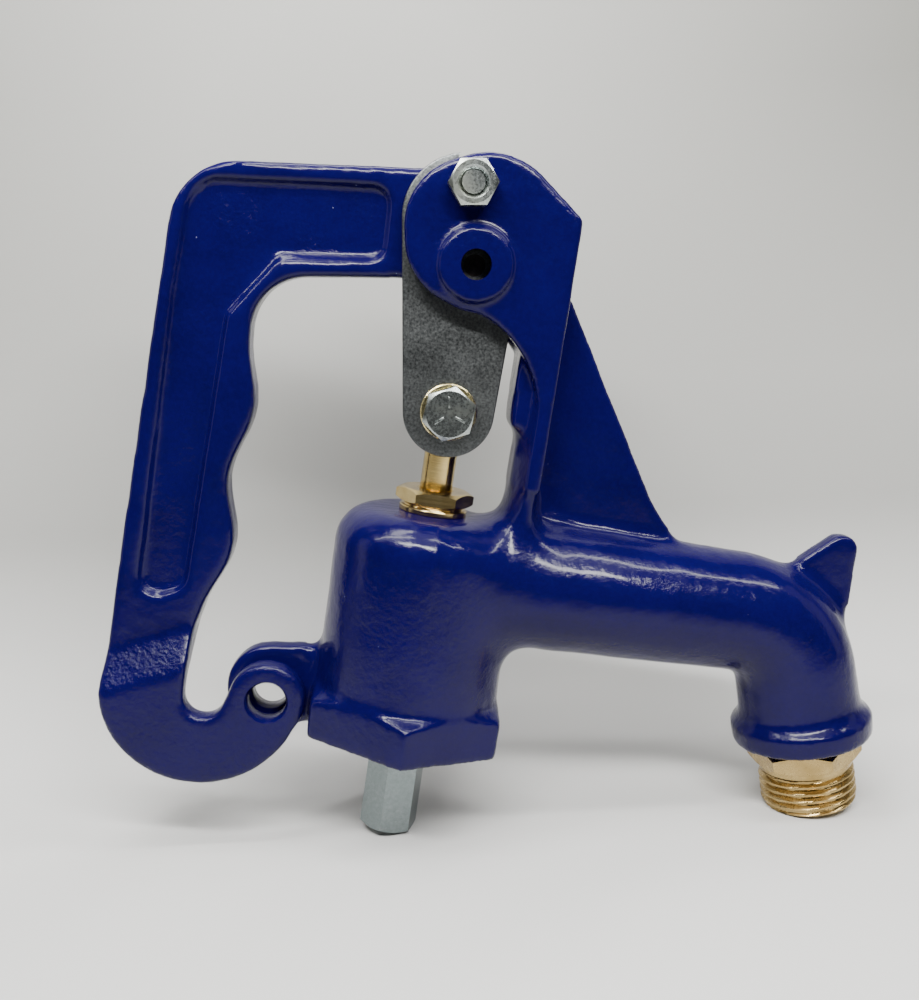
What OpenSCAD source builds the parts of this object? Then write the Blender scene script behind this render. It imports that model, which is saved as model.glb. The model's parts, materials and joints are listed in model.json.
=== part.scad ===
// Head of a frost-free yard hydrant, worked by a lever handle.
// Origin: the middle of the standpipe socket's mouth. +Z runs up the stem,
// +X points to the spout and +Y to the back. Everything is drawn closed, with the handle down.

/* [Base and body] */
// Width of the base hexagon across its flats
base_flats = 52; // [51.6:0.1:54]
// Height of the hexagon's straight sides
base_height = 10.5; // [9:0.5:12]
// Rise from the hexagon's corners to the round body
base_slope = 2.4; // [2:0.2:4]
// Radius of the round body
body_r = 25.5; // [25.2:0.1:25.8]
// Height of the body's top face
body_top = 63.6; // [63.4:0.1:63.8]
// Radius of the rounded shoulder of the body
body_round = 10; // [6:1:10]
// Radius of the standpipe thread, cut for 1 inch pipe
socket_r = 15.2; // [14.8:0.1:15.6]
// Depth of the standpipe thread
socket_depth = 20; // [16:1:22]

/* [Spout] */
// Height of the spout's level run
spout_z = 47.3; // [47:0.1:47.6]
// Outer radius of the spout where it meets the outlet bend
spout_r = 16.8; // [16.4:0.1:17]
// Outer radius of the spout where it leaves the body
spout_root_r = 18.6; // [18:0.1:19]
// Distance from the stem to the start of the spout's taper
spout_start = 16; // [14:1:18]
// Distance from the stem to the start of the bend
bend_x = 88.4; // [84:0.2:92]
// Centreline radius of the bend
bend_r = 22.4; // [21:0.2:24]
// Outward lean of the outlet
outlet_lean = 17.5; // [12:0.5:20]
// Radius of the water passage
water_r = 11; // [9:0.5:12]
// Radius of the collar round the outlet
collar_r = 19.4; // [19:0.1:20]
// Length from the end of the bend to the outlet face
outlet_len = 19; // [18:0.2:20]

/* [Clevis] */
// Distance between the two ears
ear_gap = 18.2; // [18.2:0.1:18.6]
// Thickness of one ear
ear_t = 5.9; // [5:0.1:6.5]
// Height of the handle's pivot
pivot_z = 150; // [149:0.5:151]
// Offset of the handle's pivot from the stem
pivot_x = -2.5; // [-3:0.1:-2]
// Radius of the quarter-inch pivot bolt
pivot_bolt_r = 3.175; // [3.1:0.005:3.2]
// Outer radius of the sleeve that the handle turns on
sleeve_r = 5; // [4.6:0.1:5.4]

/* [Handle] */
// Thickness of the grip
handle_t = 12; // [10:0.5:12]
// Thickness of the lower hook
hook_t = 7; // [6:0.5:7.5]
// How far the hook's front stands in front of the mid-plane
hook_front = 12.2; // [12:0.1:13]
// Radius of the padlock hole in the eye
lock_hole_r = 5.3; // [5:0.1:5.6]
// Radius of the padlock hole in the lug
lug_hole_r = 4.9; // [4.5:0.1:5.1]
// Depth of the panel recessed into each face
panel_depth = 2.6; // [1:0.1:3]

/* [Links] */
// Thickness of one link plate
plate_t = 2.5; // [2:0.1:2.6]
// Height of the stem bolt
stem_bolt_z = 92.2; // [91:0.2:93]
// Offset of the link pin from the stem
link_pin_x = 1.2; // [1:0.1:1.6]
// Height of the link pin
link_pin_z = 130.6; // [130:0.1:131.2]
// Radius of the link pin
link_pin_r = 2.8; // [2.4:0.1:3]
// Radius of the five-sixteenths stem bolt
stem_bolt_r = 3.97; // [3.9:0.01:4]

/* [Stem and packing] */
// Radius of the stem
stem_r = 4.5; // [4.2:0.1:4.8]
// Width of the coupling nut across its flats
coupling_flats = 14.3; // [13.5:0.1:15]
// Length of the coupling nut
coupling_len = 40; // [36:1:44]
// How far the coupling nut reaches below the socket's mouth
coupling_drop = 28.5; // [28:0.5:32]

/* [Hose adapter] */
// Major radius of the garden hose thread
hose_thread_r = 13.5; // [13.4:0.05:13.6]
// Length of the garden hose thread
hose_thread_len = 10.6; // [10:0.2:12]
// Width of the adapter's hexagon across its flats
adapter_flats = 27.8; // [27:0.1:29]
// Height of the adapter's hexagon
adapter_hex_h = 5.5; // [5:0.1:6]
// Gap between the outlet face and the hexagon
adapter_gap = 1.5; // [1:0.1:2]

/* [Hidden] */
$fn = 64;
eps = 0.05;
running_gap = 0.05;      // radial clearance of a pin that turns
side_gap = 0.3;          // clearance between parts that slide past each other
ear_in = ear_gap / 2;
ear_out = ear_in + ear_t;
boss_h = 2;
boss_r = 9.3;
plate_in = handle_t / 2 + side_gap;
plate_out = plate_in + plate_t;
hub_y = handle_t / 2;
hook_back = hook_t - hook_front;
ramp_x = -70.8;          // middle of the ramp between the grip and the hook
ramp_z = 15;
ramp_lean = 24;          // the ramp rises towards the stem
lug_x = -37.8;
lug_z = 7.4;
lug_t = 6.5;
blue = "#1424a8";
zinc = "#b9bcc0";
brass = "#d0a14a";
bend_z = spout_z - bend_r;
bend_end_x = bend_x + bend_r * cos(outlet_lean);
bend_end_z = bend_z + bend_r * sin(outlet_lean);
adapter_socket_r = 13.2;
adapter_socket_depth = 13;
packing_bore_r = 8;
coupling_top = coupling_len - coupling_drop;
thread_r = 4.1;          // stands for the 3/8 inch thread of the pull rod
rod_r = 3.8;             // stands for the thread on the stem's lower end
pull_rod_depth = 24;     // the part of the coupling nut that takes the pull rod
rod_engaged = 15;        // the part of the stem's thread inside the coupling nut
rib_t = 5;
fin_t = 6;
water_z = spout_z - 1;   // the passage runs a little below the middle of the spout

// A flat outline in X and Z, given a thickness from y0 to y1
module slab(y0, y1) {
    rotate([90, 0, 0]) translate([0, 0, -y1]) linear_extrude(y1 - y0) children();
}

// A cylinder along Y from y0 to y1
module rod_y(x, z, r, y0, y1) {
    translate([x, y0, z]) rotate([-90, 0, 0]) cylinder(r = r, h = y1 - y0);
}

// An upright cylinder that starts at a height
module cylinder_from(z, r, h) {
    translate([0, 0, z]) cylinder(r = r, h = h);
}

// Moves a shape drawn along +Z to the end of the bend, pointing out of the outlet
module at_outlet() {
    translate([bend_end_x, 0, bend_end_z]) rotate([0, 180 - outlet_lean, 0]) children();
}

// A hexagonal prism given by its width across flats
module hexagon(flats, h) {
    cylinder(r = flats / sqrt(3), h = h, $fn = 6);
}

// A hexagonal nut or bolt head with both faces chamfered round the corners
module chamfered_hexagon(flats, h, drop = 0.9) {
    corner = flats / sqrt(3);
    intersection() {
        hexagon(flats, h);
        rotate_extrude() polygon([
            [0, 0], [flats / 2 - 0.2, 0], [corner, drop], [corner, h - drop],
            [flats / 2 - 0.2, h], [0, h]
        ]);
    }
}

// ---- head casting ----

// Round body with its rounded shoulder
module body_shape() {
    rotate_extrude() polygon(concat(
        [[0, 0], [body_r, 0]],
        [for (a = [0:7.5:90]) [
            body_r - body_round + body_round * cos(a), body_top - body_round + body_round * sin(a)
        ]],
        [[0, body_top]]
    ));
}

// Hexagonal base with its corners sloped up to the round body
module base_shape() {
    corner = base_flats / sqrt(3);
    intersection() {
        rotate([0, 0, 30]) hexagon(base_flats, base_height + base_slope);
        rotate_extrude() polygon([
            [0, 0], [corner - 0.6, 0], [corner + 0.2, 0.8], [corner + 0.2, base_height],
            [body_r - 0.2, base_height + base_slope], [0, base_height + base_slope]
        ]);
    }
}

// The bend as a solid tube, drawn a hair wider than the straight runs that enter it
module bend(r) {
    translate([bend_x, 0, bend_z]) rotate([90, 0, 0]) rotate([0, 0, outlet_lean])
        rotate_extrude(angle = 90 - outlet_lean) translate([bend_r, 0]) circle(r = r);
}

// Level run, bend, outlet and collar of the spout
module spout_shape() {
    translate([spout_start, 0, spout_z]) rotate([0, 90, 0])
        cylinder(r1 = spout_root_r, r2 = spout_r, h = bend_x + 1 - spout_start);
    bend(spout_r + 0.15);
    at_outlet() rotate_extrude() polygon([
        [0, -1], [spout_r, -1], [spout_r + 0.5, 8.4], [collar_r - 1.2, 10.6], [collar_r - 0.4, 12.2],
        [collar_r, 14], [collar_r, 16], [collar_r - 0.3, 18], [collar_r - 0.9, outlet_len],
        [0, outlet_len]
    ]);
}

// Outline of one ear and of the arm's face below it
module ear_outline() {
    hull() {
        translate([-0.8, 139.6]) circle(r = 17.4);
        translate([-0.5, 136.9]) circle(r = 17.2);
        translate([3, 138.5]) circle(r = 20);
        translate([24.4, 144.4]) circle(r = 2.2);
    }
    difference() {
        translate([-4, 58]) square([30.6, 86]);
        translate([-5, 92]) circle(r = 28);
        translate([-5, 50]) square([28, 42]);
    }
}

// The arm that rises to the clevis, its two ears and the web that joins them
module arm_shape() {
    slab(-ear_out, -ear_in) ear_outline();
    slab(ear_in, ear_out) ear_outline();
    slab(-ear_in - eps, ear_in + eps) intersection() {
        ear_outline();
        translate([16.5, 90]) square([12, 52]);
    }
    translate([0, 0, 50]) linear_extrude(49) polygon([
        [19.2, -6], [19.2, 6], [23, ear_out], [26.6, ear_out], [26.6, -ear_out], [23, -ear_out]
    ]);
    rod_y(link_pin_x, link_pin_z, boss_r, -ear_out - boss_h, -ear_in - 1);
    rod_y(link_pin_x, link_pin_z, boss_r, ear_in + 1, ear_out + boss_h);
}

// Thin rib between the arm and the spout
module rib_shape() {
    slab(-rib_t / 2, rib_t / 2)
        polygon([[22, 50], [22, 127], [28.4, 126], [46.4, 96.4], [59.4, 75.2], [64, 69.6], [70, 64], [70, 50]]);
}

// Hook on the spout's bend that a bucket's bail hangs from
module bucket_fin_shape() {
    tip = [115.2, 68.6];
    slab(-fin_t / 2, fin_t / 2) hull() {
        translate(tip) circle(r = 4.4);
        translate([99, 56]) circle(r = 3);
        translate([116, 36]) circle(r = 5);
    }
}

// Lug beside the handle's eye, for the padlock
module lock_lug_shape() {
    slab(-lug_t / 2, lug_t / 2) hull() {
        translate([lug_x, lug_z + 1]) circle(r = 12.2);
        translate([-26, 0.4]) square([6, 22]);
    }
}

// Standpipe socket, chamber and packing hole
module body_passage() {
    translate([0, 0, -eps]) cylinder(r = socket_r, h = socket_depth + eps);
    translate([0, 0, socket_depth - eps]) cylinder(r = 17.5, h = 30);
    translate([0, 0, 40]) cylinder(r = packing_bore_r, h = 30);
}

// Water passage of the spout
module spout_passage() {
    translate([10, 0, water_z]) rotate([0, 90, 0]) cylinder(r = water_r, h = bend_x - 9);
    translate([0, 0, water_z - spout_z]) bend(water_r + 0.15);
    translate([0, 0, water_z - spout_z]) at_outlet() translate([0, 0, -1])
        cylinder(r = water_r, h = outlet_len);
    at_outlet() translate([0, 0, outlet_len - adapter_socket_depth])
        cylinder(r = adapter_socket_r, h = adapter_socket_depth + 1);
}

module head_casting() {
    color(blue) difference() {
        union() {
            base_shape();
            body_shape();
            spout_shape();
            arm_shape();
            rib_shape();
            bucket_fin_shape();
            lock_lug_shape();
        }
        body_passage();
        spout_passage();
        rod_y(pivot_x, pivot_z, pivot_bolt_r + 0.1, -30, 30);
        rod_y(link_pin_x, link_pin_z, 3.75, -30, -ear_in + eps);
        rod_y(link_pin_x, link_pin_z, 3.75, ear_in - eps, 30);
        rod_y(lug_x, lug_z, lug_hole_r, -10, 10);
    }
}

// ---- handle ----

// Side view of the handle: arm, grip with finger hollows, hook and padlock eye
module handle_outline() {
    shoulder = [-59.8, 129.7];
    heel = [-59.4, 6.3];
    sole = [-56.5, 9.8];
    difference() {
        polygon(concat(
            [[-2, 154.6]],
            [for (a = [97:9:178]) shoulder + 18.4 * [cos(a), sin(a)]],
            [[-78.9, 115.6], [-80.8, 71.3], [-82.2, 40.9]],
            [for (a = [178:9:232]) heel + 23.8 * [cos(a), sin(a)]],
            [for (a = [241:9:332]) sole + 28.5 * [cos(a), sin(a)]],
            [[lug_x + 8, lug_z], [-20, 60], [-20, 124.2], [-2, 127]]
        ));
        grip_window();
    }
    translate([lug_x, lug_z]) circle(r = 10.6);
}

// Opening for the hand, with four hollows for the fingers, and the slot of the hook
module grip_window() {
    hollow = [-39.4, 106.6];
    polygon(concat(
        [[0, 20], [-15, 124.9], [-38.3, 121.5]],
        [for (a = [95:12:180]) hollow + 15 * [cos(a), sin(a)]],
        [for (t = [0:0.1:1]) [-54.2 + 4 * pow(sin(180 * t), 2), 105 - 39 * t] + [-1.6 * t, 0]],
        [for (t = [0.1:0.1:1]) [-55.8 + 4.2 * pow(sin(180 * t), 2) - 3.2 * t * t, 66 - 38 * t]],
        [[-60.3, 24], [-60.3, 6.2]],
        [for (a = [180:15:345]) [-54.8 + 5.5 * cos(a), 6.2 + 5.5 * sin(a)]],
        [[-48.9, 9.5]]
    ));
}

// Panel recessed into each face of the grip
module panel_outline() {
    hull() {
        translate([-71.3, 36.4]) circle(r = 4.6);
        translate([-68.6, 37.5]) circle(r = 4.2);
        translate([-66.6, 134]) circle(r = 7);
        translate([-68.6, 110]) circle(r = 6.6);
    }
    hull() {
        translate([-65.8, 135]) circle(r = 7.6);
        translate([-27, 142.8]) circle(r = 4.2);
        translate([-26.6, 132]) circle(r = 4.2);
        translate([-54, 128.6]) circle(r = 4.2);
    }
}

// The grip is in the mid-plane and the hook is stepped forward of the lug
module handle_step() {
    translate([ramp_x, 0, ramp_z]) rotate([0, -ramp_lean, 0]) translate([-ramp_x, 0, -ramp_z])
        rotate([90, 0, 90]) translate([0, 0, -100]) linear_extrude(180) polygon([
            [-hub_y, 200], [-hub_y, 19], [-hook_front, 9.5], [-hook_front, -30],
            [hook_back, -30], [hook_back, 6], [hub_y, 17], [hub_y, 200]
        ]);
}

// Clearance for the link pin, which rides with the link plates
module link_pin_slot() {
    slot_r = link_pin_r + 0.7;
    translate([link_pin_x, link_pin_z]) hull() {
        circle(r = slot_r);
        translate([-1.7, 5]) circle(r = slot_r);
        translate([-0.4, 5.9]) circle(r = slot_r);
        translate([4.1, 0.3]) circle(r = slot_r);
    }
}

// Hub round the pivot and the link pin, a little thinner than the grip
module hub_outline() {
    hull() {
        translate([pivot_x, pivot_z]) circle(r = 7.6);
        translate([-14, 145]) circle(r = 8);
        translate([link_pin_x + 1.4, link_pin_z + 1]) circle(r = 9.4);
        translate([-14, 133.6]) circle(r = 9);
    }
}

module handle() {
    color(blue) difference() {
        intersection() {
            union() {
                slab(-20, 20) difference() {
                    handle_outline();
                    translate([-15, 100]) square([60, 70]);
                }
                slab(-hub_y, hub_y) hub_outline();
            }
            handle_step();
        }
        slab(-hub_y - 1, -hub_y + panel_depth) panel_outline();
        slab(hub_y - panel_depth, hub_y + 1) panel_outline();
        slab(-20, 20) link_pin_slot();
        rod_y(pivot_x, pivot_z, sleeve_r + running_gap, -20, 20);
        rod_y(lug_x, lug_z, lock_hole_r, -20, 20);
    }
}

// ---- handle pivot ----

module pivot_sleeve() {
    color(brass) difference() {
        rod_y(pivot_x, pivot_z, sleeve_r, -ear_in, ear_in);
        rod_y(pivot_x, pivot_z, pivot_bolt_r + running_gap, -20, 20);
    }
}

module pivot_bolt() {
    washer = 1.6;
    color(zinc) {
        rod_y(pivot_x, pivot_z, pivot_bolt_r, -ear_out - 5.2, ear_out + washer + 0.1);
        translate([pivot_x, ear_out + washer, pivot_z]) rotate([-90, 8, 0])
            chamfered_hexagon(11.1, 4.2, 0.7);
    }
}

module pivot_nut() {
    color(zinc) difference() {
        translate([pivot_x, -ear_out, pivot_z]) rotate([90, -6, 0]) chamfered_hexagon(11.1, 5.6, 0.7);
        rod_y(pivot_x, pivot_z, pivot_bolt_r, -30, 0);
    }
}

module pivot_lock_washer() {
    color(zinc) difference() {
        rod_y(pivot_x, pivot_z, 6, ear_out, ear_out + 1.6);
        rod_y(pivot_x, pivot_z, pivot_bolt_r + 0.15, 0, 30);
        translate([pivot_x + 2, 0, pivot_z - 0.4]) cube([6, 30, 0.8]);
    }
}

// ---- links ----

// Teardrop plate with a hooked notch that clears the pivot sleeve as the links swing
module link_plate_outline() {
    difference() {
        hull() {
            translate([-2.7, 141.9]) circle(r = 16.4);
            translate([0, stem_bolt_z]) circle(r = 12.1);
        }
        hull() {
            translate([pivot_x, pivot_z]) circle(r = sleeve_r + 0.6);
            translate([pivot_x, pivot_z + 25]) square(0.1);
            translate([pivot_x + 24, pivot_z + 25]) square(0.1);
            translate([9.4, 142.8]) circle(r = sleeve_r + 0.8);
        }
        hull() {
            translate([9.4, 142.8]) circle(r = sleeve_r + 0.8);
            translate([14.8, 136.2]) circle(r = sleeve_r + 0.8);
            translate([18.4, 131.6]) circle(r = sleeve_r + 0.8);
            translate([24, 155]) circle(r = 5);
        }
    }
}

module link_plate(y0) {
    color(zinc) difference() {
        slab(y0, y0 + plate_t) link_plate_outline();
        rod_y(0, stem_bolt_z, 5.2 + running_gap, -20, 20);
        rod_y(link_pin_x, link_pin_z, link_pin_r, -20, 20);
    }
}

module link_plate_front() {
    link_plate(-plate_out);
}

module link_plate_rear() {
    link_plate(plate_in);
}

module link_pin() {
    color(zinc) rod_y(link_pin_x, link_pin_z, link_pin_r, -plate_out, plate_out);
}

// ---- stem ----

module stem() {
    eye_r = 8.6;
    eye_y = hub_y - 0.1;
    color(brass) difference() {
        union() {
            translate([0, 0, coupling_top]) cylinder(r = stem_r, h = stem_bolt_z - coupling_top - 4);
            translate([0, 0, coupling_top - rod_engaged]) cylinder(r = rod_r, h = rod_engaged + 1);
            translate([0, 0, stem_bolt_z - eye_r - 3]) cylinder(r1 = stem_r, r2 = 5.8, h = 4);
            rod_y(0, stem_bolt_z, eye_r, -eye_y, eye_y);
        }
        rod_y(0, stem_bolt_z, 5.2, -20, 20);
    }
}

// Flanged bushing through both plates and the stem's eye
module stem_bushing() {
    color(brass) difference() {
        union() {
            rod_y(0, stem_bolt_z, 5.2, -plate_out - 0.1, plate_out + 0.1);
            rod_y(0, stem_bolt_z, 7.5, -plate_out - 1.1, -plate_out - 0.1);
        }
        rod_y(0, stem_bolt_z, stem_bolt_r, -20, 20);
    }
}

module stem_bolt() {
    head_y = -plate_out - 1.1;
    color(zinc) {
        rod_y(0, stem_bolt_z, stem_bolt_r, head_y, plate_out + 8.6);
        translate([0, head_y, stem_bolt_z]) rotate([90, 23, 0]) chamfered_hexagon(12.7, 5.2, 0.8);
    }
}

module stem_bolt_washer() {
    color(zinc) difference() {
        rod_y(0, stem_bolt_z, 7.4, plate_out + 0.1, plate_out + 1.3);
        rod_y(0, stem_bolt_z, stem_bolt_r, 0, 30);
    }
}

module stem_bolt_nut() {
    color(zinc) difference() {
        translate([0, plate_out + 1.3, stem_bolt_z]) rotate([-90, 12, 0])
            chamfered_hexagon(12.7, 6.6, 0.8);
        rod_y(0, stem_bolt_z, stem_bolt_r, 0, 30);
    }
}

// ---- packing ----

// Flanged housing screwed into the top of the body
module packing_housing() {
    color(brass) rotate_extrude() polygon([
        [stem_r + running_gap, 50], [packing_bore_r, 50], [packing_bore_r, body_top],
        [9.3, body_top], [9.3, body_top + 1.6], [8.4, body_top + 2], [8.4, body_top + 2.6],
        [6.4, body_top + 2.6], [6.4, 53], [stem_r + running_gap, 53]
    ]);
}

// Hexagonal nut that squeezes the packing
module packing_nut() {
    foot = body_top + 2.6;
    color(brass) difference() {
        union() {
            translate([0, 0, foot]) chamfered_hexagon(18.6, 3.9, 0.8);
            translate([0, 0, foot - 4]) cylinder(r = 6.4, h = 5);
        }
        translate([0, 0, 40]) cylinder(r = stem_r + running_gap, h = 40);
    }
}

module packing_ring(z, h) {
    difference() {
        translate([0, 0, z]) cylinder(r = 6.4, h = h);
        translate([0, 0, z - 1]) cylinder(r = stem_r + running_gap, h = h + 2);
    }
}

module packing_gland() {
    color(brass) packing_ring(body_top - 3.4, 2);
}

module packing_rings() {
    ring_h = 2;
    color("#3a3a3c") for (i = [0:2]) packing_ring(54 + i * (ring_h + 0.06), ring_h);
}

module packing_seat_washer() {
    color(brass) packing_ring(53, 0.95);
}

// ---- rod end ----

module stem_jam_nut() {
    color(zinc) difference() {
        translate([0, 0, coupling_top]) chamfered_hexagon(coupling_flats, 5, 0.8);
        cylinder(r = stem_r, h = 60);
    }
}

module coupling_nut() {
    color(zinc) difference() {
        translate([0, 0, -coupling_drop]) rotate([0, 0, -34])
            chamfered_hexagon(coupling_flats, coupling_len, 0.8);
        translate([0, 0, -coupling_drop - 1]) cylinder(r = thread_r, h = pull_rod_depth + 1);
        cylinder_from(-coupling_drop + pull_rod_depth - eps, rod_r, coupling_len);
    }
}

// ---- outlet ----

module hose_adapter() {
    hex_z = outlet_len + adapter_gap;
    hex_foot = hex_z + adapter_hex_h;
    thread_z = hex_foot + 2;
    color(brass) at_outlet() difference() {
        union() {
            translate([0, 0, outlet_len - 11]) cylinder(r = adapter_socket_r, h = 11 + adapter_gap + 1);
            translate([0, 0, hex_z]) rotate([0, 0, 10])
                chamfered_hexagon(adapter_flats, adapter_hex_h, 1.4);
            translate([0, 0, hex_foot - 1]) cylinder(r = hose_thread_r - 0.2, h = 3.5);
            translate([0, 0, thread_z]) cylinder(r = hose_thread_r, h = hose_thread_len - 1);
            translate([0, 0, thread_z + hose_thread_len - 1])
                cylinder(r1 = hose_thread_r, r2 = hose_thread_r - 1, h = 1);
        }
        cylinder(r = 9.4, h = 60);
    }
}

module adapter_seal() {
    color("#3a3a3c") at_outlet() difference() {
        translate([0, 0, outlet_len - 12.9]) cylinder(r = 12.9, h = 1.8);
        cylinder(r = 10, h = 30);
    }
}

head_casting();
handle();
pivot_sleeve();
pivot_bolt();
pivot_nut();
pivot_lock_washer();
link_plate_front();
link_plate_rear();
link_pin();
stem();
stem_bushing();
stem_bolt();
stem_bolt_washer();
stem_bolt_nut();
packing_housing();
packing_nut();
packing_gland();
packing_rings();
packing_seat_washer();
stem_jam_nut();
coupling_nut();
hose_adapter();
adapter_seal();
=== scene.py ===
import json
import math
import bmesh
import bpy
from mathutils import Matrix, Vector, noise


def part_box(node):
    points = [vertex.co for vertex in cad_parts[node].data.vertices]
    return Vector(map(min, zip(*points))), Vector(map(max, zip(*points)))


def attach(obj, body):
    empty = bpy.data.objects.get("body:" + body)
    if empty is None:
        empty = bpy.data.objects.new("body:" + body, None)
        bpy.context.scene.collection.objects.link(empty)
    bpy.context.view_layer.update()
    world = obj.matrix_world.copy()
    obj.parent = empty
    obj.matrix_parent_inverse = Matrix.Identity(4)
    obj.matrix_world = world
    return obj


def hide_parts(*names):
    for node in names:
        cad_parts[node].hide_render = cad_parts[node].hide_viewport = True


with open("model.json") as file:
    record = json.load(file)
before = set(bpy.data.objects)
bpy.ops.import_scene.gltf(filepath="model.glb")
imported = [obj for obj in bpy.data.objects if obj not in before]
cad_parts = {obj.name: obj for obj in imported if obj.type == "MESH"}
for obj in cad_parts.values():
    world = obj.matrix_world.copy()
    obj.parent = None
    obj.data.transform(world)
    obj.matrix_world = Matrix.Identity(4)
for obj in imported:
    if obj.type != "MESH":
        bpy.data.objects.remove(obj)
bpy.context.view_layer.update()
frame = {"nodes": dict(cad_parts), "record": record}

# Shapes are drawn in millimetres and scaled to metres as each piece is finished.
MM = 0.001
UP = Vector((0, 0, 1))


# ---------------------------------------------------------------- places

def node_box(name):
    """Lowest and highest corner of a CAD node, in millimetres."""
    low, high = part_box(name)
    return Vector(low) / MM, Vector(high) / MM


def centre_of(name):
    low, high = node_box(name)
    return (low + high) / 2


joint_at = {j["name"]: Vector(j["pos_m"]) / MM
            for j in frame["record"]["behaviour"]["joints"] if "pos_m" in j}
mount_at = {m["name"]: m for m in frame["record"]["mounts"]}
PIVOT = joint_at["handle_pivot"]
STEM_BOLT = joint_at["link_swing"]
LINK_PIN = centre_of("link_pin")
LOCK_HOLE = Vector(mount_at["lug_lock_hole"]["pos_m"]) / MM
BODY_TOP = node_box("packing_housing")[1].z - 2.6
ROD_END = node_box("coupling_nut")[0].z
NUT_TOP = node_box("coupling_nut")[1].z
EAR_OUT = -node_box("pivot_nut")[1].y
EAR_IN = node_box("pivot_sleeve")[1].y
PLATE_OUT = node_box("link_plate_rear")[1].y
PLATE_IN = node_box("link_plate_rear")[0].y
OUTLET_AXIS = Vector(mount_at["hose_thread"]["axis"])
OUTLET_ACROSS = Vector((-OUTLET_AXIS.z, 0, OUTLET_AXIS.x))
SPOUT_Z = 47.3
BEND_X = 88.4
BEND_R = 22.4
SPOUT_R = 16.8
SPOUT_START = 16
SPOUT_ROOT_R = 18.6
LEAN = math.atan2(OUTLET_AXIS.x, -OUTLET_AXIS.z)
BEND_CENTRE = Vector((BEND_X, 0, SPOUT_Z - BEND_R))
BEND_END = BEND_CENTRE + BEND_R * Vector((math.cos(LEAN), 0, math.sin(LEAN)))
OUTLET_LEN = 19
HEX_START = OUTLET_LEN + 1.5
HEX_FOOT = HEX_START + 5.5
THREAD_START = HEX_FOOT + 2
THREAD_END = THREAD_START + 10.6
BODY_R = 25.5
BASE_CORNER_R = 30.02
BASE_TALL = 14
ARM_FRONT = 26.6
BORE_R = 11
HEAD_VOXEL = 0.85
HANDLE_VOXEL = 0.68
HANDLE_HALF = 6.0
EYE_R = 10.6
EYE_FRONT = -12.2
EYE_BACK = -5.2
PANEL_LEG = ((-70, 36), (-67, 130))
PANEL_TOP = ((-60, 137), (-27, 137.4))
PIVOT_FLATS = 11.1
STEM_FLATS = 12.7
ROD_FLATS = 14.3
GLAND_FLATS = 18.6
ADAPTER_FLATS = 27.8
SPLIT_WASHER = 1.6
FLAT_WASHER = 1.3
BUSHING_FLANGE = 1.1
BUSHING_HOLE_R = 5.25
NOTCH_R = 5.6
HOOK_R = 5.8
ADAPTER_BORE_R = 9.45

# ---------------------------------------------------------------- shape helpers

def arc(cx, cz, r, start, stop, steps):
    """Points on an arc in X and Z, from one angle to another in degrees."""
    out = []
    for i in range(steps + 1):
        a = math.radians(start + (stop - start) * i / steps)
        out.append((cx + r * math.cos(a), cz + r * math.sin(a)))
    return out


def faces_of(verts):
    return list({f for v in verts for f in v.link_faces})


def prism(bm, corners, reach):
    """A flat outline of corners, extruded along a vector."""
    verts = [bm.verts.new(corner) for corner in corners]
    grown = bmesh.ops.extrude_face_region(bm, geom=[bm.faces.new(verts)])
    moved = [g for g in grown["geom"] if isinstance(g, bmesh.types.BMVert)]
    bmesh.ops.translate(bm, verts=moved, vec=reach)
    bmesh.ops.recalc_face_normals(bm, faces=faces_of(verts + moved))


def slab(bm, outline, y0, y1):
    """A flat outline in X and Z, extruded from y0 to y1."""
    prism(bm, [(x, y0, z) for x, z in outline], (0, y1 - y0, 0))


def hull(bm, rings, steps):
    """The hull of some circles across Y, each (x, z, radius, y)."""
    verts = []
    for cx, cz, r, y in rings:
        place = Matrix.Translation((cx, y, cz)) @ Matrix.Rotation(math.pi / 2, 4, "X")
        ring = bmesh.ops.create_circle(bm, cap_ends=False, segments=steps, radius=r, matrix=place)
        verts += ring["verts"]
    done = bmesh.ops.convex_hull(bm, input=verts, use_existing_faces=False)
    bmesh.ops.delete(bm, geom=list(set(done["geom_interior"] + done["geom_unused"])), context="VERTS")
    bmesh.ops.recalc_face_normals(bm, faces=faces_of(v for v in verts if v.is_valid))


def hull_slab(bm, circles, y0, y1, steps=48):
    """The hull of some circles in X and Z, from y0 to y1."""
    hull(bm, [(cx, cz, r, y) for cx, cz, r in circles for y in (y0, y1)], steps)


def lathe(bm, profile, place=None, steps=96):
    """Spins a closed profile of (radius, height) points about Z, then places it."""
    made = [bm.verts.new((r, 0, z)) for r, z in profile]
    edges = [bm.edges.new((a, b)) for a, b in zip(made, made[1:])]
    if profile[0][0] > 0:
        edges.append(bm.edges.new((made[-1], made[0])))
    before = set(bm.verts) - set(made)
    bmesh.ops.spin(bm, geom=made + edges, cent=(0, 0, 0), axis=(0, 0, 1), dvec=(0, 0, 0),
                   angle=2 * math.pi, steps=steps, use_merge=True)
    verts = [v for v in bm.verts if v not in before]
    bmesh.ops.remove_doubles(bm, verts=verts, dist=1e-4)
    verts = [v for v in bm.verts if v not in before]
    bmesh.ops.recalc_face_normals(bm, faces=faces_of(verts))
    if place is not None:
        bmesh.ops.transform(bm, matrix=place, verts=verts)
    return verts


def along(direction, start):
    """Turns +Z to a direction and moves the origin to a start point."""
    turn = Vector(direction).to_track_quat("Z", "Y").to_matrix().to_4x4()
    return Matrix.Translation(start) @ turn


def at_outlet(s=0):
    """Places a shape drawn up +Z at the end of the bend, pointing out of the outlet."""
    turn = Matrix((
        (OUTLET_ACROSS.x, 0, OUTLET_AXIS.x, 0),
        (0, -1, 0, 0),
        (OUTLET_ACROSS.z, 0, OUTLET_AXIS.z, 0),
        (0, 0, 0, 1),
    ))
    return Matrix.Translation(BEND_END + s * OUTLET_AXIS) @ turn


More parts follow.
